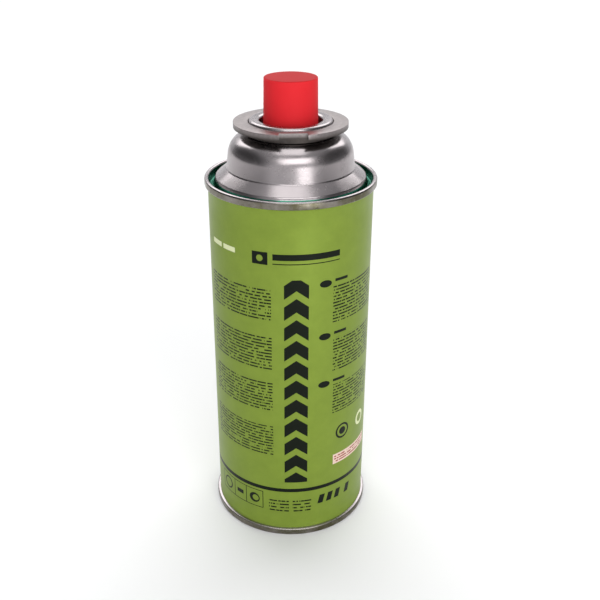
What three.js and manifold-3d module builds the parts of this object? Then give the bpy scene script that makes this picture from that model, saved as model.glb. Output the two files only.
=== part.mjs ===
// Gas cartridge with a notched collar: a sealed tinplate can, a press valve crimped into its neck,
// and a pull-off cap over the valve. Millimetres, +Z up, origin at the middle of the base.
// The notch in the collar faces -Y.

import * as THREE from 'three';
import { mergeVertices } from 'three/addons/utils/BufferGeometryUtils.js';
import Module from 'manifold-3d';

const wasm = await Module();
wasm.setup();

// Can: the printed wall and its two double seams
const bodyHeight = 152.6;
const wallRadius = 32.7;
const seamStand = 1.25;
const seamWidth = 1.65;
const seamHeight = 3.1;
const seamRound = 0.55;
const restWidth = 0.8;

// Can: the base, domed inwards
const baseChuckDepth = 4.2;
const baseChuckDraft = 0.9;
const baseTurn = 1.6;
const baseDomeRise = 5;

// Can: the dome, from the channel inside the top seam to the neck
const channelDepth = 4;
const channelWidth = 1.6;
const footDrop = 1.1;
const skirtFoot = 29.1;
const skirtRise = 2.6;
const creaseRadius = 25.1;
const creaseRise = 3.6;
const shoulderWall = 5.9;
const shoulderLean = 6.5;
const shoulderRound = 8.4;
const shoulderTurn = 76;

// Can: the one-inch neck and the pocket under it that the valve hangs in
const neckRadius = 15.6;
const openingRadius = 12.7;
const neckHeight = 4.1;
const neckRound = 0.7;
const beadHeight = 2.5;
const beadDepth = 1.7;
const pocketDepth = 26;

// Collar
const collarRadius = 22.15;
const collarThickness = 2.1;
const collarEdge = 0.4;
const hubWall = 1.05;
const lipThickness = 0.9;
const hubHeight = 2.2;
const notchWidth = 10.7;
const notchDepth = 3.3;
const notchCorner = 0.8;
const notchTurn = 2.8;

// Valve cup
const sheet = 0.4;
const curlWidth = 3.9;
const curlRound = 1.1;
const curlSkirt = 2.6;
const wellDepth = 6;
const crimpBulge = 1.1;
const crimpHeight = 1.3;
const floorTurn = 0.9;
const pedestalRadius = 5.5;
const pedestalHeight = 8.1;
const pedestalRound = 0.8;
const pedestalCrimp = 0.4;
const pedestalCrimpHeight = 0.9;
const stemHole = 2.5;

// Valve
const gasketThickness = 0.9;
const cupGasketThickness = 0.8;
const cupGasketWidth = 1.9;
const stemRadius = 2;
const stemBore = 0.7;
const stemStand = 7.9;
const stemFlangeRadius = 3.3;
const stemFlangeHeight = 1.4;
const stemSpigotRadius = 1.6;
const stemSpigotLength = 2.2;
const housingHeadHeight = 2.1;
const housingWaist = 4.45;
const housingWall = 0.75;
const housingCavity = 11.2;
const housingFloor = 1.4;
const tailRadius = 2;
const tailLength = 4;
const inletRadius = 0.8;
const springRadius = 2.5;
const springWire = 0.55;
const springTurns = 6;

// Cap
const capFootRadius = 10.6;
const capTopRadius = 10.25;
const capHeight = 21.4;
const capWall = 1.2;
const capTop = 1.4;
const capEdge = 0.5;
const capRibs = 4;
const capRibThickness = 1.1;
const capRibHeight = 12;

// Clearances
const seatGap = 0.3;
const crimpGap = 0.15;
const slideGap = 0.1;

// Steps of a full turn, on the can and on the small valve pieces, and of the rounds
const turnSteps = 44;
const valveTurnSteps = 24;
const roundSteps = 2;
const arcSteps = 7;
const wireSides = 6;
const wireStepsPerTurn = 10;

// Radii and heights that follow from the sizes above
const rimRadius = wallRadius + seamStand;
const chuckRadius = rimRadius - seamWidth;
const creaseHeight = bodyHeight + creaseRise;
const footHeight = creaseHeight - skirtRise;
const channelFloor = bodyHeight - channelDepth;
const channelInner = chuckRadius - channelWidth;

const lean = THREE.MathUtils.degToRad(shoulderLean);
const roundStart = new THREE.Vector2(
  creaseRadius - shoulderWall * Math.sin(lean),
  creaseHeight + shoulderWall * Math.cos(lean),
);
const roundCentre = new THREE.Vector2(
  roundStart.x - shoulderRound * Math.cos(lean),
  roundStart.y - shoulderRound * Math.sin(lean),
);
const roundEnd = THREE.MathUtils.degToRad(shoulderTurn);
const shoulderHeight = roundCentre.y + shoulderRound * Math.sin(roundEnd);
const neckTop = shoulderHeight + neckHeight;
const pocketFloor = neckTop - pocketDepth;

const cupWallRadius = openingRadius - crimpGap;
const curlInner = cupWallRadius - sheet;
const curlOuter = curlInner + curlWidth + seatGap / 2;
const curlUnder = neckTop + cupGasketThickness + 2 * slideGap;
const cupTop = curlUnder + sheet;
const skirtEnd = cupTop - curlSkirt;
const wellFloor = cupTop - wellDepth;
const pedestalTop = wellFloor + pedestalHeight;
const pedestalInner = pedestalRadius - sheet;
const pedestalUnder = pedestalTop - sheet;

const lipTop = skirtEnd - slideGap;
const collarBore = curlOuter + 2 * crimpGap;
const hubRadius = collarBore + hubWall;
const hubFoot = shoulderHeight + seatGap;
const collarUnder = hubFoot + hubHeight;
const collarTop = collarUnder + collarThickness;

const gasketRadius = pedestalInner - pedestalRound + sheet - slideGap;
const gasketTop = pedestalUnder - slideGap;
const gasketUnder = gasketTop - gasketThickness;
const housingTop = gasketUnder - slideGap;
const headUnder = housingTop - housingHeadHeight;
const crimpMiddle = headUnder - slideGap - pedestalCrimpHeight;
const housingRadius = pedestalInner - crimpGap;
const stemFlangeTop = gasketUnder - slideGap;
const stemFlangeUnder = stemFlangeTop - stemFlangeHeight;
const housingBottom = housingTop - housingCavity;
const springFoot = housingBottom + slideGap + springWire / 2;
const springHead = stemFlangeUnder - slideGap - springWire / 2;

const capFoot = wellFloor + seatGap;

// A point of a profile: its distance from the axis and its height
function point(radius, height) {
  return new THREE.Vector2(radius, height);
}

// Points along an arc between two angles in degrees, anticlockwise where the second is larger
function arc(centreRadius, centreHeight, size, from, to, steps) {
  const points = [];
  for (let i = 0; i <= steps; i += 1) {
    const angle = THREE.MathUtils.degToRad(from + ((to - from) * i) / steps);
    points.push(point(centreRadius + size * Math.cos(angle), centreHeight + size * Math.sin(angle)));
  }
  return points;
}

// A profile turned once about Z
function turned(profile, steps = turnSteps) {
  return new THREE.LatheGeometry(profile, steps).rotateX(Math.PI / 2);
}

// A ring of any section: its profile closes on itself
function turnedRing(profile, steps = turnSteps) {
  return turned([...profile, profile[0]], steps);
}

// A closed solid that can be cut and joined, without the triangles that shrink to a line at the axis
function solid(geometry) {
  const bare = geometry.clone();
  bare.deleteAttribute('normal');
  bare.deleteAttribute('uv');
  const merged = mergeVertices(bare);
  const corners = merged.index.array;
  const kept = [];
  for (let i = 0; i < corners.length; i += 3) {
    const [a, b, c] = corners.slice(i, i + 3);
    if (a !== b && b !== c && c !== a) kept.push(a, b, c);
  }
  return new wasm.Manifold(new wasm.Mesh({
    numProp: 3,
    vertProperties: merged.attributes.position.array,
    triVerts: new Uint32Array(kept),
  }));
}

// A three.js geometry from a cut or joined solid
function geometryOf(manifold) {
  const mesh = manifold.getMesh();
  const geometry = new THREE.BufferGeometry();
  geometry.setAttribute('position', new THREE.BufferAttribute(mesh.vertProperties, 3));
  geometry.setIndex(new THREE.BufferAttribute(mesh.triVerts, 1));
  geometry.computeVertexNormals();
  return geometry;
}

// Base of the can: a panel domed inwards, a chuck wall and the flat ring that the can stands on
function baseProfile() {
  const panelRadius = chuckRadius - baseChuckDraft - baseTurn;
  const domeSize = (panelRadius ** 2 + baseDomeRise ** 2) / (2 * baseDomeRise);
  const domeCentre = baseChuckDepth + baseDomeRise - domeSize;
  const domeEdge = THREE.MathUtils.radToDeg(Math.acos(panelRadius / domeSize));
  return [
    ...arc(0, domeCentre, domeSize, 90, domeEdge, arcSteps),
    point(panelRadius + baseTurn * 0.7, baseChuckDepth - baseTurn * 0.3),
    point(panelRadius + baseTurn, baseChuckDepth - baseTurn),
    point(chuckRadius, seamRound),
    point(chuckRadius + (seamWidth - restWidth) / 2, 0),
    point(rimRadius - (seamWidth - restWidth) / 2, 0),
    point(rimRadius, seamRound),
  ];
}

// Both seams and the straight wall between them
function wallProfile() {
  return [
    point(rimRadius, seamHeight - seamRound),
    point(rimRadius - seamRound / 2, seamHeight),
    point(wallRadius, seamHeight + seamRound / 2),
    point(wallRadius, bodyHeight - seamHeight - seamRound / 2),
    point(rimRadius - seamRound / 2, bodyHeight - seamHeight),
    point(rimRadius, bodyHeight - seamHeight + seamRound),
    ...arc(rimRadius - seamWidth / 2, bodyHeight - seamWidth / 2, seamWidth / 2, 0, 180, 2 * roundSteps),
  ];
}

// Dome: the channel inside the seam, the flared skirt, the crease, the shoulder and the neck's bead
function domeProfile() {
  return [
    point(chuckRadius, channelFloor + channelWidth / 2),
    ...arc(chuckRadius - channelWidth / 2, channelFloor + channelWidth / 2, channelWidth / 2, -45, -135, roundSteps),
    point(channelInner, channelFloor + channelWidth / 2),
    point(skirtFoot + (channelInner - skirtFoot) / 2, footHeight - footDrop),
    point(skirtFoot, footHeight),
    point(creaseRadius, creaseHeight),
    ...arc(roundCentre.x, roundCentre.y, shoulderRound, shoulderLean, shoulderTurn, arcSteps),
    point(neckRadius, shoulderHeight),
    ...arc(neckRadius - neckRound, neckTop - neckRound, neckRound, 0, 90, roundSteps),
    point(openingRadius + neckRound, neckTop),
    point(openingRadius, neckTop - neckRound),
    point(openingRadius, neckTop - beadHeight),
    point(openingRadius + beadDepth, neckTop - beadHeight - beadDepth / 2),
    point(openingRadius + beadDepth, pocketFloor),
    point(0, pocketFloor),
  ];
}

function canGeometry() {
  return turned([...baseProfile(), ...wallProfile(), ...domeProfile()]);
}

// Collar: a flat steel ring on a short hub, with a lip that the valve cup's curl clamps
function collarGeometry() {
  const ring = solid(turnedRing([
    point(neckRadius + crimpGap, hubFoot),
    point(hubRadius, hubFoot),
    point(hubRadius, collarUnder - collarEdge),
    point(hubRadius + collarEdge, collarUnder),
    point(collarRadius - collarEdge, collarUnder),
    point(collarRadius, collarUnder + collarEdge),
    point(collarRadius, collarTop - collarEdge),
    point(collarRadius - collarEdge, collarTop),
    point(collarBore + collarEdge, collarTop),
    point(collarBore, collarTop - collarEdge),
    point(collarBore, lipTop),
    point(neckRadius + crimpGap, lipTop),
    point(neckRadius + crimpGap, lipTop - lipThickness),
  ]));
  const outline = new THREE.Shape();
  const back = collarRadius - notchDepth;
  const front = collarRadius + notchDepth;
  const half = notchWidth / 2;
  outline.moveTo(-half, -front);
  outline.lineTo(half, -front);
  outline.lineTo(half, -back - notchCorner);
  outline.absarc(half - notchCorner, -back - notchCorner, notchCorner, 0, Math.PI / 2, false);
  outline.absarc(-half + notchCorner, -back - notchCorner, notchCorner, Math.PI / 2, Math.PI, false);
  outline.lineTo(-half, -front);
  const cutter = new THREE.ExtrudeGeometry(outline, {
    depth: 3 * collarThickness,
    bevelEnabled: false,
    curveSegments: 4,
  });
  cutter.translate(0, 0, collarUnder - collarThickness);
  cutter.rotateZ(THREE.MathUtils.degToRad(notchTurn));
  return geometryOf(ring.subtract(solid(cutter)));
}

// Valve cup: one sheet pressed into a curl, a well and a pedestal, expanded under the neck's bead
function cupGeometry() {
  const crimpTop = neckTop - beadHeight - beadDepth / 2 - slideGap;
  const floorUnder = wellFloor - sheet;
  const upper = [
    point(stemHole, pedestalTop),
    point(pedestalRadius - pedestalRound, pedestalTop),
    point(pedestalRadius, pedestalTop - pedestalRound),
    point(pedestalRadius, crimpMiddle + pedestalCrimpHeight),
    point(pedestalRadius - pedestalCrimp, crimpMiddle + pedestalCrimpHeight / 2),
    point(pedestalRadius - pedestalCrimp, crimpMiddle - pedestalCrimpHeight / 2),
    point(pedestalRadius, crimpMiddle - pedestalCrimpHeight),
    point(pedestalRadius, wellFloor + floorTurn / 2),
    point(pedestalRadius + floorTurn / 2, wellFloor),
    point(curlInner - floorTurn, wellFloor),
    point(curlInner + crimpBulge, wellFloor + floorTurn),
    point(curlInner + crimpBulge, crimpTop - crimpHeight / 2),
    point(curlInner, crimpTop),
    ...arc(curlInner + curlRound, cupTop - curlRound, curlRound, 180, 90, roundSteps + 1),
    ...arc(curlOuter - curlRound, cupTop - curlRound, curlRound, 90, 0, roundSteps + 1),
    point(curlOuter, skirtEnd),
  ];
  const lower = [
    point(curlOuter - sheet, skirtEnd),
    ...arc(curlOuter - curlRound, cupTop - curlRound, curlRound - sheet, 0, 90, roundSteps),
    ...arc(curlInner + curlRound, cupTop - curlRound, curlRound - sheet, 90, 180, roundSteps),
    point(cupWallRadius, crimpTop - sheet / 2),
    point(cupWallRadius + crimpBulge, crimpTop - crimpHeight / 2 - sheet / 2),
    point(cupWallRadius + crimpBulge, wellFloor + floorTurn - sheet / 2),
    point(curlInner - floorTurn + sheet / 2, floorUnder),
    point(pedestalInner + floorTurn / 2, floorUnder),
    point(pedestalInner, floorUnder + floorTurn / 2),
    point(pedestalInner, crimpMiddle - pedestalCrimpHeight),
    point(pedestalInner - pedestalCrimp, crimpMiddle - pedestalCrimpHeight / 2),
    point(pedestalInner - pedestalCrimp, crimpMiddle + pedestalCrimpHeight / 2),
    point(pedestalInner, crimpMiddle + pedestalCrimpHeight),
    point(pedestalInner, pedestalTop - pedestalRound),
    point(pedestalInner - pedestalRound + sheet, pedestalUnder),
    point(stemHole, pedestalUnder),
  ];
  return turnedRing([...upper, ...lower].reverse());
}

// Rubber ring between the neck's bead and the curl of the cup
function cupGasketGeometry() {
  const middle = (openingRadius + neckRadius) / 2;
  const foot = neckTop + slideGap;
  return turnedRing([
    point(middle - cupGasketWidth / 2, foot),
    point(middle + cupGasketWidth / 2, foot),
    point(middle + cupGasketWidth / 2, foot + cupGasketThickness),
    point(middle - cupGasketWidth / 2, foot + cupGasketThickness),
  ]);
}

// Rubber washer under the pedestal's top, which the stem passes through
function stemGasketGeometry() {
  return turnedRing([
    point(stemRadius + slideGap, gasketUnder),
    point(gasketRadius, gasketUnder),
    point(gasketRadius, gasketTop),
    point(stemRadius + slideGap, gasketTop),
  ], valveTurnSteps);
}

// Housing: a moulded pot with a head that the pedestal's crimp holds, and an inlet in its tail
function housingGeometry() {
  const bottom = housingBottom - housingFloor;
  return turnedRing([
    point(inletRadius, bottom - tailLength),
    point(tailRadius, bottom - tailLength),
    point(tailRadius, bottom),
    point(housingWaist - seatGap, bottom),
    point(housingWaist, bottom + seatGap),
    point(housingWaist, headUnder),
    point(housingRadius, headUnder),
    point(housingRadius, housingTop),
    point(housingWaist - housingWall, housingTop),
    point(housingWaist - housingWall, housingBottom),
    point(inletRadius, housingBottom),
  ], valveTurnSteps);
}

// Stem: a tube closed at its foot, with a flange that seals on the washer and a spigot for the spring
function stemGeometry() {
  const tip = pedestalTop + stemStand;
  return turned([
    point(0, stemFlangeUnder - stemSpigotLength),
    point(stemSpigotRadius, stemFlangeUnder - stemSpigotLength),
    point(stemSpigotRadius, stemFlangeUnder),
    point(stemFlangeRadius, stemFlangeUnder),
    point(stemFlangeRadius, stemFlangeTop),
    point(stemRadius, stemFlangeTop),
    point(stemRadius, tip - stemBore / 2),
    point(stemRadius - stemBore / 2, tip),
    point(stemBore, tip),
    point(stemBore, gasketUnder),
    point(0, gasketUnder),
  ], valveTurnSteps);
}

// Spring: a round wire wound between the housing's floor and the stem's flange
class Helix extends THREE.Curve {
  getPoint(t) {
    const angle = 2 * Math.PI * springTurns * t;
    const height = springFoot + (springHead - springFoot) * t;
    return new THREE.Vector3(springRadius * Math.cos(angle), springRadius * Math.sin(angle), height);
  }
}

function springGeometry() {
  const section = new THREE.Shape();
  for (let i = 0; i < wireSides; i += 1) {
    const angle = (2 * Math.PI * i) / wireSides;
    const corner = [Math.cos(angle) * springWire / 2, Math.sin(angle) * springWire / 2];
    if (i === 0) section.moveTo(...corner);
    else section.lineTo(...corner);
  }
  return new THREE.ExtrudeGeometry(section, {
    steps: springTurns * wireStepsPerTurn,
    extrudePath: new Helix(),
  });
}

// Cap: a thin moulded cup, mouth down, with ribs inside that grip the pedestal
function capGeometry() {
  const top = capFoot + capHeight;
  const shell = solid(turned([
    point(0, top - capTop),
    point(capTopRadius - capWall, top - capTop),
    point(capFootRadius - capWall, capFoot),
    point(capFootRadius, capFoot),
    ...arc(capTopRadius - capEdge, top - capEdge, capEdge, 0, 90, roundSteps),
    point(0, top),
  ]));
  const ribInner = pedestalRadius + seatGap;
  const ribOuter = capFootRadius - capWall / 2;
  let cap = shell;
  for (let i = 0; i < capRibs; i += 1) {
    const rib = new THREE.BoxGeometry(ribOuter - ribInner, capRibThickness, capRibHeight);
    rib.translate((ribInner + ribOuter) / 2, 0, capFoot + capWall + capRibHeight / 2);
    rib.rotateZ((2 * Math.PI * (i + 0.5)) / capRibs);
    cap = cap.add(solid(rib));
  }
  return geometryOf(cap);
}

const paintedTinplate = { color: 0x748837, roughness: 0.35, metalness: 0.3 };
const bareSteel = { color: 0xb0a9a5, roughness: 0.4, metalness: 0.9 };
const bareTinplate = { color: 0xc4beb8, roughness: 0.3, metalness: 0.9 };
const blackRubber = { color: 0x232323, roughness: 0.8, metalness: 0 };
const whiteAcetal = { color: 0xe9e6dd, roughness: 0.5, metalness: 0 };
const springSteel = { color: 0x9a9a9c, roughness: 0.35, metalness: 1 };
const redPolythene = { color: 0xe53e42, roughness: 0.45, metalness: 0 };

const pieces = [
  ['can', canGeometry(), paintedTinplate],
  ['collar', collarGeometry(), bareSteel],
  ['valve_cup', cupGeometry(), bareTinplate],
  ['cup_gasket', cupGasketGeometry(), blackRubber],
  ['stem_gasket', stemGasketGeometry(), blackRubber],
  ['valve_housing', housingGeometry(), whiteAcetal],
  ['valve_spring', springGeometry(), springSteel],
  ['valve_stem', stemGeometry(), whiteAcetal],
  ['cap', capGeometry(), redPolythene],
];

const cartridge = new THREE.Group();
for (const [name, geometry, finish] of pieces) {
  const mesh = new THREE.Mesh(geometry, new THREE.MeshStandardMaterial(finish));
  mesh.name = name;
  cartridge.add(mesh);
}

export default cartridge;
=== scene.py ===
"""A tinplate gas cartridge with a domed top, a notched collar, a press valve and a pull-off cap."""

import math

import bpy
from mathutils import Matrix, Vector


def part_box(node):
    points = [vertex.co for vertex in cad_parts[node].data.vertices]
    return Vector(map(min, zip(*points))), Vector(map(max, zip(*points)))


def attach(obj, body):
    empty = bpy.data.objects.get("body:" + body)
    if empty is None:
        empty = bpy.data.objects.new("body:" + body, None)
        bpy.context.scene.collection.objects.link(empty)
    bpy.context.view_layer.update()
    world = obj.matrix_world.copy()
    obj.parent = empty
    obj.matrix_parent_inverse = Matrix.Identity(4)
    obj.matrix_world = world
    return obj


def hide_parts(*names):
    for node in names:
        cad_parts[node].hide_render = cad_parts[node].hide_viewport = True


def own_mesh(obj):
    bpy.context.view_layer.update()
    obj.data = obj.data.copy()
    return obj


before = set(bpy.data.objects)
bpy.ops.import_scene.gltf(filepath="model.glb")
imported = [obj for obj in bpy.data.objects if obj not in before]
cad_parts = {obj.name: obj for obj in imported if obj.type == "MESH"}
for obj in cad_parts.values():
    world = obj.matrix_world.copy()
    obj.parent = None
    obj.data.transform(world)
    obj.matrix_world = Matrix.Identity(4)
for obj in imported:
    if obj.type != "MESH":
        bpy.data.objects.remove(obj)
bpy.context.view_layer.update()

# Camera
# A short normal lens close in front of the can and a little above its cap, as the photograph was taken.
# The can stands a little left of the middle of the picture, which the lens shift gives.
MM = 0.001
CAMERA_DISTANCE = 323.47
CAMERA_HEIGHT = 255.22
CAMERA_PITCH = 26.0
CAMERA_LENS = 51.21
CAMERA_SHIFT = 0.0154

bpy.ops.object.select_all(action="DESELECT")
bpy.ops.object.camera_add(
    location=(0, -CAMERA_DISTANCE * MM, CAMERA_HEIGHT * MM),
    rotation=(math.radians(90 - CAMERA_PITCH), 0, 0),
)
camera = bpy.context.object
camera.data.lens = CAMERA_LENS
camera.data.shift_x = CAMERA_SHIFT
camera.data.clip_start = 0.01
camera.data.clip_end = 60
bpy.context.scene.camera = camera
bpy.context.scene.view_settings.view_transform = "Standard"


# Floor
# A wide sweep of plain white card, matt, laid flat and far larger than the picture.
FLOOR_SIZE = 24
CARD_WHITE = "F6F6F6"


def linear(colour):
    """An sRGB hex colour as the linear colour, with alpha, that the shaders read."""
    parts = [int(colour[i : i + 2], 16) / 255 for i in (0, 2, 4)]
    return (*(c / 12.92 if c <= 0.04045 else ((c + 0.055) / 1.055) ** 2.4 for c in parts), 1)


def node(tree, kind, inputs=None, **settings):
    """Adds one node with its settings and its inputs: a socket is linked, and anything else is a value."""
    made = tree.nodes.new(kind)
    for name, value in settings.items():
        setattr(made, name, value)
    for key, value in (inputs or {}).items():
        if isinstance(value, bpy.types.NodeSocket):
            tree.links.new(value, made.inputs[key])
        else:
            made.inputs[key].default_value = value
    return made


def surface(name, **values):
    """A new material: itself, its node tree and its shader, with the shader's own values set."""
    material = bpy.data.materials.new(name)
    material.use_nodes = True
    shader = material.node_tree.nodes["Principled BSDF"]
    for key, value in values.items():
        shader.inputs[key.replace("_", " ")].default_value = value
    return material, material.node_tree, shader


bpy.ops.object.select_all(action="DESELECT")
bpy.ops.mesh.primitive_plane_add(size=FLOOR_SIZE)
floor = bpy.context.object
floor.name = "floor"
white_card, _, _ = surface("white_card", Base_Color=linear(CARD_WHITE), Roughness=0.9)
floor.data.materials.append(white_card)


# Lights
# A wide softbox in front and above, one overhead, a large one high behind that whitens the sweep, and a
# small low one at the right. The room is pale in front and behind and dark at the sides, so that the bare
# metal has something dark to mirror.
LIGHT_AIM = Vector((0, 0, 0.12))
ROOM_WHITE = "F6F7FA"
ROOM_LOW = 0.9
ROOM_HIGH = 0.45
ROOM_SIDE = 0.18


def softbox(name, azimuth, elevation, distance, width, height, radiance):
    """Adds a soft rectangular light that faces the can's upper half, placed by its direction in degrees."""
    side = math.radians(azimuth)
    rise = math.radians(elevation)
    towards = Vector((math.sin(side) * math.cos(rise), -math.cos(side) * math.cos(rise), math.sin(rise)))
    bpy.ops.object.light_add(type="AREA", location=LIGHT_AIM + distance * towards)
    light = bpy.context.object
    light.name = name
    light.data.shape = "RECTANGLE"
    light.data.size = width
    light.data.size_y = height
    light.data.energy = radiance * math.pi * width * height
    light.visible_camera = False
    light.rotation_mode = "QUATERNION"
    light.rotation_quaternion = towards.to_track_quat("Z", "Y")


softbox("softbox_front", 10, 36, 1.5, 1.5, 0.72, 2.7)
softbox("softbox_top", 0, 86, 1.5, 1.0, 1.0, 1.5)
softbox("softbox_back", 180, 45, 3.4, 6.0, 2.6, 2.3)
softbox("softbox_low", 24, -6, 0.5, 0.22, 0.2, 3.2)

room = bpy.data.worlds.new("studio_room")
room.use_nodes = True
room_tree = room.node_tree
seen = node(room_tree, "ShaderNodeTexCoord")
seen_axes = node(room_tree, "ShaderNodeSeparateXYZ", {0: seen.outputs["Generated"]})
room_height = node(
    room_tree,
    "ShaderNodeMapRange",
    {
        "Value": seen_axes.outputs["Z"],
        "From Min": 0.1,
        "From Max": 0.35,
        "To Min": ROOM_LOW,
        "To Max": ROOM_HIGH,
    },
    interpolation_type="SMOOTHSTEP",
)
sideways = node(room_tree, "ShaderNodeMath", {0: seen_axes.outputs["X"]}, operation="ABSOLUTE")
room_side = node(
    room_tree,
    "ShaderNodeMapRange",
    {"Value": sideways.outputs[0], "From Min": 0.5, "From Max": 0.85, "To Min": 1, "To Max": ROOM_SIDE},
    interpolation_type="SMOOTHSTEP",
)
room_light = node(
    room_tree, "ShaderNodeMath", {0: room_height.outputs["Result"], 1: room_side.outputs["Result"]},
    operation="MULTIPLY",
)
room_tree.links.new(room_light.outputs[0], room_tree.nodes["Background"].inputs["Strength"])
room_tree.nodes["Background"].inputs["Color"].default_value = linear(ROOM_WHITE)
bpy.context.scene.world = room


# Base end
# The bottom of the can: a tinplate disc pressed into an inward dome, whose edge is rolled round the foot
# of the wall into a double seam. The seam's lowest ring is what the can stands on.
can_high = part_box("can")[1]
RIM_RADIUS = can_high.x / MM
WALL_RADIUS = 32.7
SEAM_WIDTH = 1.65
SEAM_HEIGHT = 3.1
SEAM_LIP = 0.55
HOOK_GAP = 0.06
HOOK_WIDTH = 0.3
HOOK_RISE = 0.1
CHUCK_RADIUS = RIM_RADIUS - SEAM_WIDTH
SEAM_MIDDLE = RIM_RADIUS - SEAM_WIDTH / 2
END_SHEET = 0.25
ROUND = 160
BASE_DEPTH = 4.2
BASE_FOOT_RADIUS = 31.5
BASE_PANEL_RADIUS = 29.8
BASE_ROUND = 1.6
BASE_DOME_RISE = 5
BODY_HEIGHT = 152.6
TINPLATE_GREY = "ABA4A5"
# The seams' outer faces: a stain together with a painted dark reflection of the floor.
SEAM_STAIN_AND_SHADE = "5A5742"
LACQUER_TEAL = "2F7E69"
STAIN_AND_SHADE_INNER = 33.72
STAIN_AND_SHADE_OUTER = 33.9
LACQUER_RADIUS = 30.85
LACQUER_REACH = 1.62
LACQUER_DEPTH = 2.6
LACQUER_DEPTH_REACH = 1.9
EDGE_ANGLE = 40


def arc(radius, height, size, first, last, steps):
    """Rings along an arc of a profile, from one angle to another, in degrees, round a radius and height."""
    rings = []
    for i in range(steps + 1):
        angle = math.radians(first + (last - first) * i / steps)
        rings.append((radius + size * math.cos(angle), height + size * math.sin(angle)))
    return rings


def draw_sheet(name, rings, steps=ROUND):
    """A round sheet drawn ring by ring: a circle, extruded and resized to each radius and height in mm.
    A last ring of no radius closes the sheet at the axis."""
    bpy.ops.object.select_all(action="DESELECT")
    (radius, height), *others = rings
    bpy.ops.mesh.primitive_circle_add(vertices=steps, radius=radius * MM)
    sheet = bpy.context.object
    sheet.name = name
    bpy.ops.object.mode_set(mode="EDIT")
    bpy.ops.mesh.select_all(action="SELECT")
    bpy.ops.transform.translate(value=(0, 0, height * MM))
    for next_radius, next_height in others:
        rise = (next_height - height) * MM
        bpy.ops.mesh.extrude_edges_move(TRANSFORM_OT_translate={"value": (0, 0, rise)})
        if next_radius == 0:
            bpy.ops.mesh.merge(type="CENTER")
        else:
            factor = next_radius / radius
            bpy.ops.transform.resize(value=(factor, factor, 1), center_override=(0, 0, 0))
        radius, height = next_radius, next_height
    bpy.ops.mesh.select_all(action="SELECT")
    bpy.ops.mesh.remove_doubles(threshold=1e-7)
    bpy.ops.mesh.normals_make_consistent(inside=False)
    bpy.ops.object.mode_set(mode="OBJECT")
    return sheet


def thicken(sheet, thickness):
    """Gives a drawn sheet its thickness in mm, inwards, and closes its edges."""
    bpy.context.view_layer.objects.active = sheet
    wall = sheet.modifiers.new("thickness", "SOLIDIFY")
    wall.thickness = thickness * MM
    wall.offset = -1
    bpy.ops.object.modifier_apply(modifier=wall.name)


def smooth(piece):
    """Shades a piece smooth, apart from its sharp edges."""
    bpy.ops.object.select_all(action="DESELECT")
    piece.select_set(True)
    bpy.context.view_layer.objects.active = piece
    bpy.ops.object.shade_smooth_by_angle(angle=math.radians(EDGE_ANGLE))


def turned_block(size, place, turn):
    """Adds a block by its size and its middle in mm, turned round the can's axis by an angle in radians."""
    bpy.ops.object.select_all(action="DESELECT")
    bpy.ops.mesh.primitive_cube_add(size=1)
    block = bpy.context.object
    block.scale = [length * MM for length in size]
    block.location = [length * MM for length in place]
    bpy.ops.object.transform_apply(location=True, rotation=True, scale=True)
    block.rotation_euler = (0, 0, turn)
    bpy.ops.object.transform_apply(location=True, rotation=True, scale=True)
    return block


def close_ends():
    """Fills the open ends of the active piece and turns its faces outwards."""
    bpy.ops.object.mode_set(mode="EDIT")
    bpy.ops.mesh.select_all(action="SELECT")
    bpy.ops.mesh.fill_holes(sides=0)
    bpy.ops.mesh.normals_make_consistent(inside=False)
    bpy.ops.object.mode_set(mode="OBJECT")


dome_size = (BASE_PANEL_RADIUS**2 + BASE_DOME_RISE**2) / (2 * BASE_DOME_RISE)
dome_edge = math.degrees(math.acos(BASE_PANEL_RADIUS / dome_size))
base_end = draw_sheet(
    "base_end",
    [
        (WALL_RADIUS + HOOK_GAP, SEAM_HEIGHT + HOOK_RISE),
        (RIM_RADIUS - SEAM_LIP - HOOK_WIDTH, SEAM_HEIGHT + HOOK_RISE / 2),
        *arc(RIM_RADIUS - SEAM_LIP, SEAM_HEIGHT - SEAM_LIP, SEAM_LIP, 90, 0, 5),
        *arc(SEAM_MIDDLE, SEAM_WIDTH / 2, SEAM_WIDTH / 2, 0, -180, 14),
        (BASE_FOOT_RADIUS, BASE_DEPTH - BASE_ROUND),
        *arc(BASE_PANEL_RADIUS, BASE_DEPTH - BASE_ROUND, BASE_ROUND, 0, 80, 6),
        *arc(0, BASE_DEPTH + BASE_DOME_RISE - dome_size, dome_size, dome_edge + 1, 89, 14),
        (0, BASE_DEPTH + BASE_DOME_RISE),
    ],
)
thicken(base_end, END_SHEET)
smooth(base_end)
# Tinplate is a warm grey metal with a bright, slightly soft gloss, duller in cloudy patches where it was
# handled. The seams' outer faces were rolled hard and are darker in patches, partly from a stain and partly
# as a painted dark reflection of the floor in front, and the channel inside the upper seam still has the
# dark teal lacquer of the can's inside.
tinplate, tin_tree, tin = surface("bright_tinplate", Metallic=1.0)
tin_place = node(tin_tree, "ShaderNodeTexCoord").outputs["Object"]
tin_axes = node(tin_tree, "ShaderNodeSeparateXYZ", {0: tin_place})
tin_level = node(
    tin_tree, "ShaderNodeCombineXYZ", {"X": tin_axes.outputs["X"], "Y": tin_axes.outputs["Y"]}
)
tin_radius = node(tin_tree, "ShaderNodeVectorMath", {0: tin_level.outputs[0]}, operation="LENGTH")
tin_clouds = node(
    tin_tree, "ShaderNodeTexNoise", {"Vector": tin_place, "Scale": 90, "Detail": 5, "Roughness": 0.65}
)
tin_gloss = node(
    tin_tree,
    "ShaderNodeMapRange",
    {"Value": tin_clouds.outputs["Fac"], "From Min": 0.35, "From Max": 0.7, "To Min": 0.2, "To Max": 0.33},
)
tin_tree.links.new(tin_gloss.outputs["Result"], tin.inputs["Roughness"])
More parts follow.
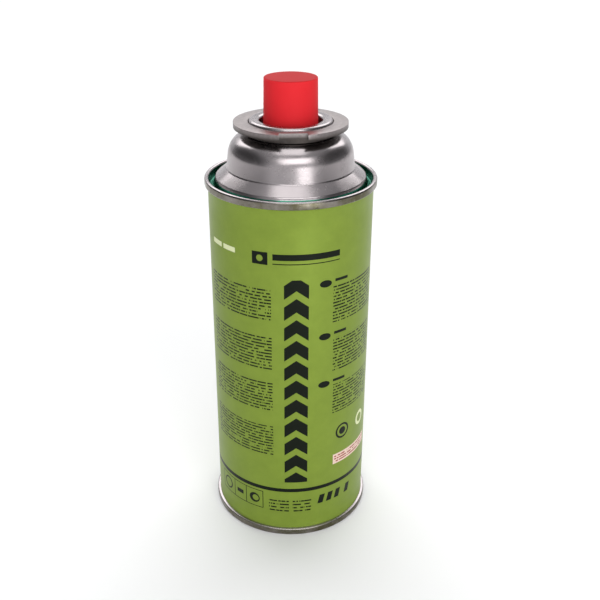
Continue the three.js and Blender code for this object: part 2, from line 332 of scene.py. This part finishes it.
# The seams' outer faces get a darker colour in patches, partly a stain and partly a painted dark reflection.
seam_face = node(
    tin_tree,
    "ShaderNodeMapRange",
    {"Value": tin_radius.outputs["Value"], "From Min": STAIN_AND_SHADE_INNER * MM, "From Max": STAIN_AND_SHADE_OUTER * MM},
)
seam_patches = node(
    tin_tree,
    "ShaderNodeMapRange",
    {"Value": tin_clouds.outputs["Fac"], "From Min": 0.3, "From Max": 0.6, "To Min": 0.45, "To Max": 1},
)
stain_and_shade = node(
    tin_tree, "ShaderNodeMath", {0: seam_face.outputs["Result"], 1: seam_patches.outputs["Result"]},
    operation="MULTIPLY",
)
tin_tone = node(
    tin_tree,
    "ShaderNodeMix",
    {0: stain_and_shade.outputs[0], 6: linear(TINPLATE_GREY), 7: linear(SEAM_STAIN_AND_SHADE)},
    data_type="RGBA",
)
channel_width = node(
    tin_tree,
    "ShaderNodeMath",
    {0: tin_radius.outputs["Value"], 1: LACQUER_RADIUS * MM, 2: LACQUER_REACH * MM},
    operation="COMPARE",
)
channel_deep = node(
    tin_tree,
    "ShaderNodeMath",
    {0: tin_axes.outputs["Z"], 1: (BODY_HEIGHT - LACQUER_DEPTH) * MM, 2: LACQUER_DEPTH_REACH * MM},
    operation="COMPARE",
)
in_channel = node(
    tin_tree, "ShaderNodeMath", {0: channel_width.outputs[0], 1: channel_deep.outputs[0]},
    operation="MULTIPLY",
)
tin_colour = node(
    tin_tree,
    "ShaderNodeMix",
    {0: in_channel.outputs[0], 6: tin_tone.outputs[2], 7: linear(LACQUER_TEAL)},
    data_type="RGBA",
)
tin_tree.links.new(tin_colour.outputs[2], tin.inputs["Base Color"])
tin_grain = node(
    tin_tree, "ShaderNodeTexNoise", {"Vector": tin_place, "Scale": 1400, "Detail": 3, "Roughness": 0.6}
)
tin_skin = node(
    tin_tree,
    "ShaderNodeBump",
    {"Height": tin_grain.outputs["Fac"], "Strength": 0.12, "Distance": 0.05 * MM},
)
tin_tree.links.new(tin_skin.outputs["Normal"], tin.inputs["Normal"])
base_end.data.materials.append(tinplate)
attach(base_end, "can_body")
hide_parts("can")


# Wall
# The body of the can: one tinplate sheet, printed flat in green, dark green and white and lacquered, then
# rolled up, welded along its side and flanged into both seams.
WALL_SHEET = 0.2
FLANGE_STEP = 0.3
FLANGE_END = 1.3
FLANGE_BEND = 0.6
GREEN_DEEP = "728731"
GREEN_BRIGHT = "869B3B"
WELD_GREY = "A9A79A"
WELD_PLACE = 52.5
WELD_WIDTH = 2.85
PRINT_DARK = "0A1206"
PRINT_PALE = "DDE3B4"
PANEL_PINK = "E8CDBE"
PANEL_RED = "9A3A32"
ROW_SHIFT = 17.3
GAP_LEVEL = 0.44

wall = draw_sheet(
    "wall",
    [
        (WALL_RADIUS + FLANGE_STEP, FLANGE_END),
        (WALL_RADIUS + FLANGE_STEP, SEAM_HEIGHT - FLANGE_BEND),
        (WALL_RADIUS, SEAM_HEIGHT),
        *[(WALL_RADIUS, height) for height in range(10, 150, 10)],
        (WALL_RADIUS, BODY_HEIGHT - SEAM_HEIGHT),
        (WALL_RADIUS + FLANGE_STEP, BODY_HEIGHT - SEAM_HEIGHT + FLANGE_BEND),
        (WALL_RADIUS + FLANGE_STEP, BODY_HEIGHT - FLANGE_END),
    ],
)
thicken(wall, WALL_SHEET)
smooth(wall)
# Printed and lacquered tinplate: translucent green ink over metal, so it is part metal itself, under a
# thin clear coat with a fine orange peel.
print_steel, ink_tree, ink = surface(
    "printed_tinplate",
    Metallic=0.3,
    Roughness=0.4,
    Specular_IOR_Level=0.12,
    Coat_Weight=0.08,
    Coat_Roughness=0.12,
)
ink_place = node(ink_tree, "ShaderNodeTexCoord").outputs["Object"]
ink_axes = node(ink_tree, "ShaderNodeSeparateXYZ", {0: ink_place})
towards_front = node(ink_tree, "ShaderNodeMath", {0: ink_axes.outputs["Y"], 1: -1}, operation="MULTIPLY")
turn = node(
    ink_tree, "ShaderNodeMath", {0: ink_axes.outputs["X"], 1: towards_front.outputs[0]}, operation="ARCTAN2"
)
# The distance round the wall from the front and the height, both in mm. The print is the same on both
# halves of the wall, so the distance starts again at the quarter turns.
HALF_PRINT = WALL_RADIUS * math.pi / 2
around = node(ink_tree, "ShaderNodeMath", {0: turn.outputs[0], 1: WALL_RADIUS}, operation="MULTIPLY")
across = node(
    ink_tree, "ShaderNodeMath", {0: around.outputs[0], 1: HALF_PRINT, 2: -HALF_PRINT}, operation="WRAP"
)
up = node(ink_tree, "ShaderNodeMath", {0: ink_axes.outputs["Z"], 1: 1 / MM}, operation="MULTIPLY")
flat = node(ink_tree, "ShaderNodeCombineXYZ", {0: across.outputs[0], 1: up.outputs[0]})


def printed_box(left, right, bottom, top, lean=0):
    """The field of one printed box, 1 inside it and 0 outside, from its edges in mm. A leaning box is
    moved across by so much for each mm of height over its bottom."""
    place = flat.outputs[0]
    if lean:
        over = node(ink_tree, "ShaderNodeMath", {0: up.outputs[0], 1: bottom}, operation="SUBTRACT")
        moved = node(
            ink_tree, "ShaderNodeMath", {0: over.outputs[0], 1: -lean, 2: across.outputs[0]},
            operation="MULTIPLY_ADD",
        )
        place = node(ink_tree, "ShaderNodeCombineXYZ", {0: moved.outputs[0], 1: up.outputs[0]}).outputs[0]
    middle = ((left + right) / 2, (bottom + top) / 2, 0)
    half = ((right - left) / 2, (top - bottom) / 2, 0)
    offset = node(ink_tree, "ShaderNodeVectorMath", {0: place, 1: middle}, operation="SUBTRACT")
    size = node(ink_tree, "ShaderNodeVectorMath", {0: offset.outputs[0]}, operation="ABSOLUTE")
    beyond = node(ink_tree, "ShaderNodeVectorMath", {0: size.outputs[0], 1: half}, operation="SUBTRACT")
    edges = node(ink_tree, "ShaderNodeSeparateXYZ", {0: beyond.outputs[0]})
    furthest = node(
        ink_tree, "ShaderNodeMath", {0: edges.outputs[0], 1: edges.outputs[1]}, operation="MAXIMUM"
    )
    return node(ink_tree, "ShaderNodeMath", {0: furthest.outputs[0], 1: 0}, operation="LESS_THAN").outputs[0]


def printed_disc(middle, height, width, tall):
    """The field of one printed disc or oval, 1 inside it and 0 outside, in mm."""
    offset = node(
        ink_tree, "ShaderNodeVectorMath", {0: flat.outputs[0], 1: (middle, height, 0)}, operation="SUBTRACT"
    )
    size = node(
        ink_tree, "ShaderNodeVectorMath", {0: offset.outputs[0], 1: (2 / width, 2 / tall, 0)},
        operation="MULTIPLY",
    )
    length = node(ink_tree, "ShaderNodeVectorMath", {0: size.outputs[0]}, operation="LENGTH")
    return node(
        ink_tree, "ShaderNodeMath", {0: length.outputs["Value"], 1: 1}, operation="LESS_THAN"
    ).outputs[0]


def joined(fields):
    """Several printed fields as one."""
    whole = fields[0]
    for field in fields[1:]:
        whole = node(ink_tree, "ShaderNodeMath", {0: whole, 1: field}, operation="MAXIMUM").outputs[0]
    return whole


def without(field, cut):
    """A printed field with another cut out of it."""
    both = node(ink_tree, "ShaderNodeMath", {0: field, 1: cut}, operation="SUBTRACT")
    return node(ink_tree, "ShaderNodeMath", {0: both.outputs[0], 1: 0}, operation="MAXIMUM").outputs[0]


def within(field, other):
    """Where two printed fields overlap."""
    return node(ink_tree, "ShaderNodeMath", {0: field, 1: other}, operation="MULTIPLY").outputs[0]


def framed(left, right, bottom, top, line):
    """A printed box of thin lines."""
    outer = printed_box(left, right, bottom, top)
    return without(outer, printed_box(left + line, right - line, bottom + line, top - line))


def dashed_rows(pitch, weight, dash):
    """Rows of short dashes of uneven length that fill the wall: the row's pitch and the dash's mean length
    in mm, and the part of the pitch that is printed."""
    rows = node(ink_tree, "ShaderNodeMath", {0: up.outputs[0], 1: 1 / pitch}, operation="MULTIPLY")
    part = node(ink_tree, "ShaderNodeMath", {0: rows.outputs[0]}, operation="FRACT")
    row = node(ink_tree, "ShaderNodeMath", {0: rows.outputs[0]}, operation="FLOOR")
    inked = node(ink_tree, "ShaderNodeMath", {0: part.outputs[0], 1: weight}, operation="LESS_THAN")
    shift = node(ink_tree, "ShaderNodeMath", {0: row.outputs[0], 1: ROW_SHIFT}, operation="MULTIPLY")
    along = node(ink_tree, "ShaderNodeMath", {0: around.outputs[0], 1: 1 / dash}, operation="MULTIPLY")
    spot = node(ink_tree, "ShaderNodeCombineXYZ", {0: along.outputs[0], 1: shift.outputs[0]})
    words = node(
        ink_tree,
        "ShaderNodeTexNoise",
        {"Vector": spot.outputs[0], "Scale": 1.0, "Detail": 2.5, "Roughness": 0.75},
        noise_dimensions="2D",
    )
    gaps = node(
        ink_tree, "ShaderNodeMath", {0: words.outputs["Fac"], 1: GAP_LEVEL}, operation="GREATER_THAN"
    )
    return within(inked.outputs[0], gaps.outputs[0])


# The tall column is a stack of plain chevrons.
CHEVRON_MIDDLE = 2.2
CHEVRON_SLOPE = 0.75
CHEVRON_PITCH = 9
CHEVRON_WEIGHT = 0.64
column = printed_box(-2.6, 7.0, 27.4, 121.5)
from_middle = node(ink_tree, "ShaderNodeMath", {0: across.outputs[0], 1: -CHEVRON_MIDDLE}, operation="ADD")
chevron_side = node(ink_tree, "ShaderNodeMath", {0: from_middle.outputs[0]}, operation="ABSOLUTE")
chevron_rise = node(
    ink_tree, "ShaderNodeMath", {0: chevron_side.outputs[0], 1: CHEVRON_SLOPE, 2: up.outputs[0]},
    operation="MULTIPLY_ADD",
)
chevrons = node(
    ink_tree, "ShaderNodeMath", {0: chevron_rise.outputs[0], 1: 1 / CHEVRON_PITCH}, operation="MULTIPLY"
)
chevron_part = node(ink_tree, "ShaderNodeMath", {0: chevrons.outputs[0]}, operation="FRACT")
chevron = node(
    ink_tree, "ShaderNodeMath", {0: chevron_part.outputs[0], 1: CHEVRON_WEIGHT}, operation="LESS_THAN"
)
column = within(column, chevron.outputs[0])

# Rows of dashes stand where small print would, in seven blocks and two short columns.
small_rows = dashed_rows(1.37, 0.46, 1.7)
foot_rows = dashed_rows(1.7, 0.42, 1.5)
text_blocks = joined(
    [
        printed_box(-40.1, -7.6, 103.5, 117.2),
        printed_box(-39.9, -7.5, 81.7, 97.1),
        printed_box(-39.7, -7.3, 62.5, 76),
        printed_box(-39.5, -7.3, 40.4, 55.3),
        printed_box(17.1, 43, 101.5, 117.4),
        printed_box(17.6, 43, 78.8, 94.6),
        printed_box(18, 43, 59.1, 73),
    ]
)
text_rows = within(text_blocks, small_rows)
foot_blocks = joined([printed_box(-9.5, -0.8, 11.5, 18.7), printed_box(0.8, 8.9, 11.5, 18.7)])
foot_text = within(foot_blocks, foot_rows)

# Ovals with a bar beside each, a ring and a dotted disc, a band all round, and three framed cells.
OVAL_HEIGHTS = (118.8, 96, 74.2)
ovals = joined([printed_disc(13.8, height, 5.1, 3) for height in OVAL_HEIGHTS])
oval_bars = joined([printed_box(17.9, 24, height + 0.2, height + 1.4) for height in OVAL_HEIGHTS])
top_bar = printed_box(-6.9, 19.7, 129.4, 131.9)
top_square = without(printed_box(-15.1, -8.8, 127.3, 132.4), printed_disc(-12, 129.85, 2.6, 2.6))
top_rule = printed_box(-6.9, 19.7, 127.7, 128.1)
BAND_HEIGHT = 23.2
BAND_WIDTH = 1.8
band = node(
    ink_tree, "ShaderNodeMath", {0: up.outputs[0], 1: BAND_HEIGHT, 2: BAND_WIDTH / 2}, operation="COMPARE"
).outputs[0]
cells = joined(
    [
        framed(-37, -12.1, 12.1, 21.2, 0.35),
        printed_box(-27.8, -27.45, 12.1, 21.2),
        printed_box(-20.8, -20.45, 12.1, 21.2),
        without(printed_disc(-32.4, 16.6, 6, 6), printed_disc(-32.4, 16.6, 4.6, 4.6)),
        printed_box(-26, -22.3, 15.6, 17.6),
        without(printed_disc(-16.3, 16.6, 5, 5), printed_disc(-15.8, 16.6, 3, 3)),
    ]
)
slanted_bars = joined([printed_box(left, left + 2.5, 14.6, 19, 0.25) for left in (11.7, 15.8, 19.9, 25.8)])
dark_ring = without(printed_disc(23.7, 48.5, 7.4, 7.4), printed_disc(23.7, 48.5, 5.6, 5.6))
dark_disc = joined([dark_ring, printed_disc(23.7, 48.5, 3.6, 3.6)])
pale_ring = without(printed_disc(36.5, 48.6, 7, 7), printed_disc(36.5, 48.6, 4.2, 4.2))
pale_bars = joined([printed_box(-37.9, -31, 129.6, 131.6), printed_box(-29.8, -23, 129.6, 131.6)])
panel = printed_box(18.9, 43, 32.9, 37.8)
panel_lines = within(printed_box(19.6, 42.3, 33.5, 37.3), dashed_rows(1.25, 0.5, 2.2))

dark_print = joined(
    [column, text_rows, foot_text, ovals, oval_bars, top_bar, top_square, top_rule, band, cells,
     slanted_bars, dark_disc]
)
pale_print = joined([pale_ring, pale_bars])
ink_clouds = node(
    ink_tree, "ShaderNodeTexNoise", {"Vector": ink_place, "Scale": 160, "Detail": 6, "Roughness": 0.7}
)
green = node(
    ink_tree,
    "ShaderNodeMix",
    {0: ink_clouds.outputs["Fac"], 6: linear(GREEN_DEEP), 7: linear(GREEN_BRIGHT)},
    data_type="RGBA",
)
# The weld runs down the right side, in a strip that was left bare.
weld = node(
    ink_tree, "ShaderNodeMath", {0: around.outputs[0], 1: WELD_PLACE, 2: WELD_WIDTH / 2},
    operation="COMPARE",
).outputs[0]
colour = green.outputs[2]
for field, print_colour in (
    (panel, PANEL_PINK),
    (panel_lines, PANEL_RED),
    (pale_print, PRINT_PALE),
    (dark_print, PRINT_DARK),
    (weld, WELD_GREY),
):
    layer = node(
        ink_tree, "ShaderNodeMix", {0: field, 6: colour, 7: linear(print_colour)}, data_type="RGBA"
    )
    colour = layer.outputs[2]
ink_tree.links.new(colour, ink.inputs["Base Color"])
peel = node(
    ink_tree, "ShaderNodeTexNoise", {"Vector": ink_place, "Scale": 500, "Detail": 2, "Roughness": 0.5}
)
peel_skin = node(
    ink_tree, "ShaderNodeBump", {"Height": peel.outputs["Fac"], "Strength": 0.15, "Distance": 0.05 * MM}
)
ink_tree.links.new(peel_skin.outputs["Normal"], ink.inputs["Coat Normal"])
wall.data.materials.append(print_steel)
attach(wall, "can_body")
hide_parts("can")


# Dome end
# The top of the can: a thicker tinplate disc drawn up into a flared skirt, a stepped shoulder and a
# one-inch neck with a rolled bead, and seamed onto the wall as the base is.
CHANNEL_ROUND = 0.8
CHANNEL_FLOOR = BODY_HEIGHT - 4
CREASE_RADIUS = 25.1
CREASE_HEIGHT = BODY_HEIGHT + 3.6
CREASE_BEND = ((0.3, -0.24), (0.02, 0.04), (-0.06, 0.4))
SKIRT_FOOT = 28.95
SKIRT_RISE = 3.2
SKIRT_FLARE = 0.85
SKIRT_DROP = 1.1
SKIRT_ROUND = 1.0
SKIRT_ROUND_INSET = 0.35
SKIRT_ROUND_DROP = 0.75
SHOULDER_WALL = 5.9
SHOULDER_LEAN = 6.5
SHOULDER_ROUND = 8.4
SHOULDER_TURN = 76
NECK_RADIUS = 15.6
NECK_FILLET = 0.5
BEAD_ROUND = 0.7
OPENING_RADIUS = 12.7
OPENING_DEPTH = 2.5
OPENING_FLARE = 1.5
OPENING_FLARE_DEPTH = 3.4
NECK_TOP = can_high.z / MM
lean = math.radians(SHOULDER_LEAN)
round_radius = CREASE_RADIUS - SHOULDER_WALL * math.sin(lean) - SHOULDER_ROUND * math.cos(lean)
round_height = CREASE_HEIGHT + SHOULDER_WALL * math.cos(lean) - SHOULDER_ROUND * math.sin(lean)
shoulder = arc(round_radius, round_height, SHOULDER_ROUND, SHOULDER_LEAN, SHOULDER_TURN, 18)
shoulder_height = shoulder[-1][1]
skirt_height = CREASE_HEIGHT - SKIRT_RISE
dome_end = draw_sheet(
    "dome_end",
    [
        (WALL_RADIUS + HOOK_GAP, BODY_HEIGHT - SEAM_HEIGHT - HOOK_RISE),
        (RIM_RADIUS - SEAM_LIP - HOOK_WIDTH, BODY_HEIGHT - SEAM_HEIGHT - HOOK_RISE / 2),
        *arc(RIM_RADIUS - SEAM_LIP, BODY_HEIGHT - SEAM_HEIGHT + SEAM_LIP, SEAM_LIP, -90, 0, 5),
        *arc(SEAM_MIDDLE, BODY_HEIGHT - SEAM_WIDTH / 2, SEAM_WIDTH / 2, 0, 180, 14),
        *arc(CHUCK_RADIUS - CHANNEL_ROUND, CHANNEL_FLOOR + CHANNEL_ROUND, CHANNEL_ROUND, 0, -180, 10),
        (SKIRT_FOOT + SKIRT_FLARE, skirt_height - SKIRT_DROP),
        *arc(SKIRT_FOOT - SKIRT_ROUND_INSET, skirt_height - SKIRT_ROUND_DROP, SKIRT_ROUND, 10, 48, 5),
        *[(CREASE_RADIUS + outwards, CREASE_HEIGHT + upwards) for outwards, upwards in CREASE_BEND],
        *shoulder,
        *arc(NECK_RADIUS + NECK_FILLET, shoulder_height + NECK_FILLET, NECK_FILLET, -90, -180, 4),
        *arc(NECK_RADIUS - BEAD_ROUND, NECK_TOP - BEAD_ROUND, BEAD_ROUND, 0, 90, 6),
        *arc(OPENING_RADIUS + BEAD_ROUND, NECK_TOP - BEAD_ROUND, BEAD_ROUND, 90, 180, 6),
        (OPENING_RADIUS, NECK_TOP - OPENING_DEPTH),
        (OPENING_RADIUS + OPENING_FLARE, NECK_TOP - OPENING_FLARE_DEPTH),
    ],
)
thicken(dome_end, END_SHEET)
smooth(dome_end)
dome_end.data.materials.append(tinplate)
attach(dome_end, "can_body")
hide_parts("can")


# Collar
# The ring that an appliance's holder grips: thick bare steel, punched and pressed, with one notch at the
# front, clamped under the valve cup's curl.
collar_low, collar_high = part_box("collar")
COLLAR_RADIUS = 22.15
COLLAR_THICKNESS = 2.1
COLLAR_BORE = 16.5
COLLAR_HUB = 17.55
COLLAR_GAP = 0.15
COLLAR_LIP = 2.5
NOTCH_WIDTH = 10.7
NOTCH_DEPTH = 3.3
NOTCH_TURN = 2.8
COLLAR_EDGE = 0.45
collar_top = collar_high.z / MM
collar_under = collar_top - COLLAR_THICKNESS
collar_foot = collar_low.z / MM
collar = draw_sheet(
    "notched_collar",
    [
        (NECK_RADIUS + COLLAR_GAP, collar_foot),
        (COLLAR_HUB, collar_foot),
        (COLLAR_HUB, collar_under),
        (COLLAR_RADIUS, collar_under),
        (COLLAR_RADIUS, collar_top),
        (COLLAR_BORE, collar_top),
        (COLLAR_BORE, collar_foot + COLLAR_LIP),
        (NECK_RADIUS + COLLAR_GAP, collar_foot + COLLAR_LIP),
        (NECK_RADIUS + COLLAR_GAP, collar_foot),
    ],
)
punch = turned_block(
    (NOTCH_WIDTH, 2 * NOTCH_DEPTH, 3 * COLLAR_THICKNESS),
    (0, -COLLAR_RADIUS, collar_top - COLLAR_THICKNESS / 2),
    math.radians(NOTCH_TURN),
)
bpy.ops.object.select_all(action="DESELECT")
collar.select_set(True)
bpy.context.view_layer.objects.active = collar
cut = collar.modifiers.new("notch", "BOOLEAN")
cut.operation = "DIFFERENCE"
cut.object = punch
cut.solver = "EXACT"
bpy.ops.object.modifier_apply(modifier=cut.name)
bpy.data.objects.remove(punch)
edges = collar.modifiers.new("pressed_edges", "BEVEL")
edges.width = COLLAR_EDGE * MM
edges.segments = 3
edges.limit_method = "ANGLE"
edges.angle_limit = math.radians(EDGE_ANGLE)
bpy.ops.object.modifier_apply(modifier=edges.name)
smooth(collar)
# Bare mild steel as it leaves the press: a dull grey metal with the fine dark pits and scratches of its
# rolled skin on top. Its punched edge and underside are darkened with painted shade, which stands in for
# the shade under the collar and the dark floor that its edge mirrors.
STEEL_DARK = "67605D"
STEEL_PALE = "B2AAAA"
# Painted shade for the collar's edge and underside.
STEEL_PAINTED_SHADE = "35312D"
EDGE_SHADE_FROM = 0.35
EDGE_SHADE_TO = 1.9
pressed_steel, steel_tree, steel = surface("pressed_steel", Metallic=1.0, Roughness=0.4)
steel_place = node(steel_tree, "ShaderNodeTexCoord").outputs["Object"]
steel_pits = node(
    steel_tree, "ShaderNodeTexNoise", {"Vector": steel_place, "Scale": 900, "Detail": 6, "Roughness": 0.7}
)
steel_tone = node(
    steel_tree,
    "ShaderNodeMix",
    {0: steel_pits.outputs["Fac"], 6: linear(STEEL_DARK), 7: linear(STEEL_PALE)},
    data_type="RGBA",
)
steel_axes = node(steel_tree, "ShaderNodeSeparateXYZ", {0: steel_place})
# Painted shade: the colour darkens from just below the collar's top towards its edge and underside.
steel_painted_shade = node(
    steel_tree,
    "ShaderNodeMapRange",
    {
        "Value": steel_axes.outputs["Z"],
        "From Min": (collar_top - EDGE_SHADE_FROM) * MM,
        "From Max": (collar_top - EDGE_SHADE_TO) * MM,
        "To Min": 0,
        "To Max": 0.85,
    },
)
steel_colour = node(
    steel_tree,
    "ShaderNodeMix",
    {0: steel_painted_shade.outputs["Result"], 6: steel_tone.outputs[2], 7: linear(STEEL_PAINTED_SHADE)},
    data_type="RGBA",
)
steel_tree.links.new(steel_colour.outputs[2], steel.inputs["Base Color"])
steel_skin = node(
    steel_tree,
    "ShaderNodeBump",
    {"Height": steel_pits.outputs["Fac"], "Strength": 0.4, "Distance": 0.15 * MM},
)
steel_tree.links.new(steel_skin.outputs["Normal"], steel.inputs["Normal"])
collar.data.materials.append(pressed_steel)
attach(collar, "can_body")
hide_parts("collar")


# Valve cup
# One tinplate disc pressed into a curl, a well and a pedestal, crimped over the neck's bead.
cup_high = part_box("valve_cup")[1]
CUP_SHEET = 0.4
CURL_OUTER = cup_high.x / MM
CURL_INNER = 12.15
CURL_ROUND = 1.1
CURL_SKIRT = 2.6
WELL_DEPTH = 6
WELL_STRAIGHT = 4.6
WELL_BULGE = 1.05
WELL_BULGE_DEPTH = 5.1
WELL_ROUND = 1.0
WELL_SAG = 0.1
PEDESTAL_RADIUS = 5.5
PEDESTAL_HEIGHT = 8.1
PEDESTAL_FILLET = 0.5
PEDESTAL_ROUND = 0.8
PEDESTAL_TOP = cup_high.z / MM
CRIMP_HEIGHT = 4.6
CRIMP_DEPTH = 0.38
CRIMP_WIDTH = 1.8
STEM_HOLE = 2.5
well_floor = PEDESTAL_TOP - PEDESTAL_HEIGHT
cup_top = well_floor + WELL_DEPTH
crimp_middle = PEDESTAL_TOP - CRIMP_HEIGHT
pedestal_foot = PEDESTAL_RADIUS + PEDESTAL_FILLET
cup = draw_sheet(
    "valve_cup_sheet",
    [
        (CURL_OUTER, cup_top - CURL_SKIRT),
        *arc(CURL_OUTER - CURL_ROUND, cup_top - CURL_ROUND, CURL_ROUND, 0, 90, 8),
        *arc(CURL_INNER + CURL_ROUND, cup_top - CURL_ROUND, CURL_ROUND, 90, 180, 8),
        (CURL_INNER, cup_top - WELL_STRAIGHT),
        (CURL_INNER + WELL_BULGE, cup_top - WELL_BULGE_DEPTH),
        *arc(CURL_INNER, well_floor + WELL_ROUND - WELL_SAG, WELL_ROUND, 0, -90, 5),
        *arc(pedestal_foot, well_floor + PEDESTAL_FILLET, PEDESTAL_FILLET, -90, -180, 5),
        (PEDESTAL_RADIUS, crimp_middle - CRIMP_WIDTH / 2),
        (PEDESTAL_RADIUS - CRIMP_DEPTH, crimp_middle - CRIMP_WIDTH / 4),
        (PEDESTAL_RADIUS - CRIMP_DEPTH, crimp_middle + CRIMP_WIDTH / 4),
        (PEDESTAL_RADIUS, crimp_middle + CRIMP_WIDTH / 2),
        *arc(PEDESTAL_RADIUS - PEDESTAL_ROUND, PEDESTAL_TOP - PEDESTAL_ROUND, PEDESTAL_ROUND, 0, 90, 5),
        (STEM_HOLE, PEDESTAL_TOP),
    ],
)
thicken(cup, CUP_SHEET)
smooth(cup)
cup.data.materials.append(tinplate)
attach(cup, "can_body")
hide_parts("valve_cup")


# Gaskets and housing
# The valve's hidden parts: a rubber ring under the curl, a rubber washer under the pedestal's top and a
# moulded acetal pot.
RUBBER_BLACK = "232323"
ACETAL_WHITE = "E9E6DD"

black_rubber, _, _ = surface("nitrile_rubber", Base_Color=linear(RUBBER_BLACK), Roughness=0.8)
white_acetal, _, _ = surface("moulded_acetal", Base_Color=linear(ACETAL_WHITE), Roughness=0.45, IOR=1.48)
for name, material in (
    ("cup_gasket", black_rubber),
    ("stem_gasket", black_rubber),
    ("valve_housing", white_acetal),
):
    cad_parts[name].data.materials.clear()
    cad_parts[name].data.materials.append(material)


# Spring
# A coil of round spring wire between the housing's floor and the stem, which shortens as the stem goes in.
SPRING_RADIUS = 2.5
SPRING_WIRE = 0.55
SPRING_TURNS = 6
WIRE_SIDES = 12
TURN_STEPS = 32
WIRE_GREY = "9A9A9C"
spring_low, spring_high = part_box("valve_spring")
spring_length = (spring_high.z - spring_low.z) / MM
bpy.ops.object.select_all(action="DESELECT")
bpy.ops.mesh.primitive_circle_add(
    vertices=WIRE_SIDES,
    radius=SPRING_WIRE / 2 * MM,
    location=(SPRING_RADIUS * MM, 0, spring_low.z + SPRING_WIRE / 2 * MM),
    rotation=(math.radians(90), 0, 0),
)
spring = bpy.context.object
spring.name = "coil_spring"
bpy.ops.object.transform_apply(location=True, rotation=True, scale=True)
coil = spring.modifiers.new("coil", "SCREW")
coil.axis = "Z"
coil.angle = math.tau
coil.iterations = SPRING_TURNS
coil.screw_offset = (spring_length - SPRING_WIRE) / SPRING_TURNS * MM
coil.steps = TURN_STEPS
coil.render_steps = TURN_STEPS
bpy.ops.object.modifier_apply(modifier=coil.name)
close_ends()
smooth(spring)
spring_wire, _, _ = surface("spring_steel_wire", Base_Color=linear(WIRE_GREY), Metallic=1, Roughness=0.3)
spring.data.materials.append(spring_wire)
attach(spring, "can_body")
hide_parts("valve_spring")
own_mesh(spring)


# Stem
# The valve's moulded stem: a tube with a flange that seals on the washer, and a spigot for the spring.
stem_low, stem_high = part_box("valve_stem")
STEM_RADIUS = 2
STEM_BORE = 0.7
STEM_ROUND = 0.35
STEM_STAND = 7.9
STEM_IN_WASHER = 1.5
BORE_LEAD = 0.2
BORE_FLOOR = 0.1
FLANGE_RADIUS = 3.3
FLANGE_HEIGHT = 1.4
SPIGOT_RADIUS = 1.6
stem_tip = stem_high.z / MM
stem_foot = stem_low.z / MM
flange_top = stem_tip - STEM_STAND - STEM_IN_WASHER
stem = draw_sheet(
    "moulded_stem",
    [
        (STEM_BORE, flange_top + BORE_FLOOR),
        (STEM_BORE, stem_tip - BORE_LEAD),
        (STEM_BORE + BORE_LEAD, stem_tip),
        *arc(STEM_RADIUS - STEM_ROUND, stem_tip - STEM_ROUND, STEM_ROUND, 90, 0, 5),
        (STEM_RADIUS, flange_top),
        (FLANGE_RADIUS, flange_top),
        (FLANGE_RADIUS, flange_top - FLANGE_HEIGHT),
        (SPIGOT_RADIUS, flange_top - FLANGE_HEIGHT),
        (SPIGOT_RADIUS, stem_foot),
    ],
    48,
)
close_ends()
smooth(stem)
stem.data.materials.append(white_acetal)
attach(stem, "stem_body")
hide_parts("valve_stem")


# Cap
# A thin cup of red polythene, moulded mouth down, with four ribs inside that grip the pedestal.
cap_low, cap_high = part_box("cap")
CAP_FOOT_RADIUS = cap_high.x / MM
CAP_TOP_RADIUS = 10.25
CAP_EDGE = 0.5
CAP_WALL = 1.2
CAP_TOP_RING = 5
CAP_RED = "E22A31"
# Painted shade: the darker red of the cap's top face.
CAP_TOP_PAINTED_SHADE = "B8171C"
CAP_SHADE_FROM = 0.3
CAP_SHADE_TO = 0.02
CAP_RIBS = 4
RIB_THICKNESS = 1.1
RIB_HEIGHT = 12
RIB_INNER = 5.8
RIB_OUTER = 10
cap_foot = cap_low.z / MM
cap_top = cap_high.z / MM
cap = draw_sheet(
    "cap_shell",
    [
        (CAP_FOOT_RADIUS, cap_foot),
        *arc(CAP_TOP_RADIUS - CAP_EDGE, cap_top - CAP_EDGE, CAP_EDGE, 0, 90, 6),
        (CAP_TOP_RING, cap_top),
        (0, cap_top),
    ],
    96,
)
thicken(cap, CAP_WALL)
for i in range(CAP_RIBS):
    turned_block(
        (RIB_OUTER - RIB_INNER, RIB_THICKNESS, RIB_HEIGHT),
        ((RIB_OUTER + RIB_INNER) / 2, 0, cap_foot + CAP_WALL + RIB_HEIGHT / 2),
        math.tau * (i + 0.5) / CAP_RIBS,
    )
    cap.select_set(True)
    bpy.context.view_layer.objects.active = cap
    bpy.ops.object.join()
smooth(cap)
# Moulded polythene: an evenly coloured, slightly waxy plastic, with its top a darker red as painted shade.
polythene, polythene_tree, red = surface(
    "moulded_polythene", Roughness=0.6, Specular_IOR_Level=0.1, IOR=1.5
)
red_place = node(polythene_tree, "ShaderNodeTexCoord").outputs["Object"]
red_axes = node(polythene_tree, "ShaderNodeSeparateXYZ", {0: red_place})
# Painted shade: the colour turns a darker red on the cap's top face.
red_top_painted_shade = node(
    polythene_tree,
    "ShaderNodeMapRange",
    {
        "Value": red_axes.outputs["Z"],
        "From Min": (cap_top - CAP_SHADE_FROM) * MM,
        "From Max": (cap_top - CAP_SHADE_TO) * MM,
    },
)
red_tone = node(
    polythene_tree,
    "ShaderNodeMix",
    {0: red_top_painted_shade.outputs["Result"], 6: linear(CAP_RED), 7: linear(CAP_TOP_PAINTED_SHADE)},
    data_type="RGBA",
)
polythene_tree.links.new(red_tone.outputs[2], red.inputs["Base Color"])
cap.data.materials.append(polythene)
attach(cap, "cap_body")
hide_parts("cap")
